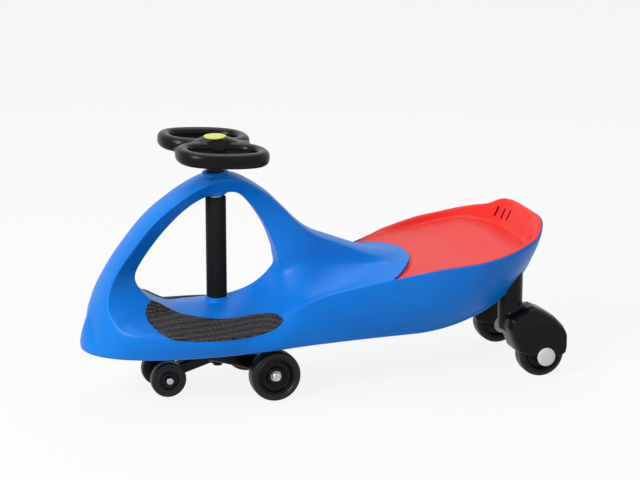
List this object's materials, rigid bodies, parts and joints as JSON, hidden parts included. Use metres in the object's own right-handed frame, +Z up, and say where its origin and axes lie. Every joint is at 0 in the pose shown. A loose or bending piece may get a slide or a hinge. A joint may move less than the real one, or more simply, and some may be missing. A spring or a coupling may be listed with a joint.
{
  "type": "wiggle car",
  "caption": "Child's ride-on wiggle car: moulded body with an arch over the foot deck, dished seat, looped steering wheel turning a wheeled truck, and hooded rear wheels.",
  "frame": {"origin": "on the floor under the middle of the body's length and width", "axes": "+X forward along the car, +Y to the rider's left, +Z up"},
  "size_m": [0.7638, 0.3003, 0.41],
  "materials": {
    "shell_blue": "satin moulded, slightly glossy",
    "seat_red": "satin moulded",
    "mat_black": "fine raised grid",
    "plastic_black": "satin moulded",
    "wheel_black": "smooth satin",
    "cap_white": "satin moulded",
    "bush_white": "plain",
    "cap_lime": "gloss",
    "steel": "bright zinc plated"
  },
  "bodies": {
    "chassis": {"body_shell": "shell_blue", "seat_panel": "seat_red", "foot_mat_left": "mat_black", "foot_mat_right": "mat_black", "column_sleeve": "plastic_black", "upper_bush": "bush_white", "lower_bush": "bush_white", "thrust_washer": "bush_white", "rear_leg_left": "plastic_black", "rear_leg_right": "plastic_black", "rear_axle_left": "steel", "rear_axle_right": "steel", "rear_axle_caps_left": "cap_white", "rear_axle_caps_right": "cap_white", "leg_screws": "steel", "leg_washers": "steel"},
    "steering": {"steering_wheel": "plastic_black", "hub_cap": "cap_lime", "hub_nut": "steel", "hub_washer": "steel", "steering_shaft": "steel", "truck_frame": "plastic_black", "shaft_nut": "steel", "main_axle": "steel", "main_axle_nuts": "steel", "front_axle": "steel", "front_axle_nuts": "steel"},
    "main_wheel_unit_left": {"main_wheel_left": "plastic_black", "main_tyre_left": "wheel_black", "main_bearings_left": "steel"},
    "front_wheel_unit_left": {"front_wheel_left": "wheel_black"},
    "rear_wheel_unit_left": {"rear_wheel_left": "plastic_black", "rear_tyre_left": "wheel_black"},
    "main_wheel_unit_right": {"main_wheel_right": "plastic_black", "main_tyre_right": "wheel_black", "main_bearings_right": "steel"},
    "front_wheel_unit_right": {"front_wheel_right": "wheel_black"},
    "rear_wheel_unit_right": {"rear_wheel_right": "plastic_black", "rear_tyre_right": "wheel_black"}
  },
  "joints": [
    {"name": "steering_turn", "type": "hinge", "parent": "chassis", "child": "steering", "pos_m": [0.16399, 0, 0.086], "axis": [0, 0, 1], "continuous": true},
    {"name": "main_wheel_spin_left", "type": "hinge", "parent": "steering", "child": "main_wheel_unit_left", "pos_m": [0.09399, 0.078, 0.04], "axis": [0, 1, 0], "continuous": true},
    {"name": "front_wheel_spin_left", "type": "hinge", "parent": "steering", "child": "front_wheel_unit_left", "pos_m": [0.25199, 0.03, 0.034], "axis": [0, 1, 0], "continuous": true},
    {"name": "rear_wheel_spin_left", "type": "hinge", "parent": "chassis", "child": "rear_wheel_unit_left", "pos_m": [-0.34481, 0.092, 0.038], "axis": [0, 1, 0], "continuous": true},
    {"name": "main_wheel_spin_right", "type": "hinge", "parent": "steering", "child": "main_wheel_unit_right", "pos_m": [0.09399, -0.078, 0.04], "axis": [0, 1, 0], "continuous": true},
    {"name": "front_wheel_spin_right", "type": "hinge", "parent": "steering", "child": "front_wheel_unit_right", "pos_m": [0.25199, -0.03, 0.034], "axis": [0, 1, 0], "continuous": true},
    {"name": "rear_wheel_spin_right", "type": "hinge", "parent": "chassis", "child": "rear_wheel_unit_right", "pos_m": [-0.34481, -0.092, 0.038], "axis": [0, 1, 0], "continuous": true}
  ]
}
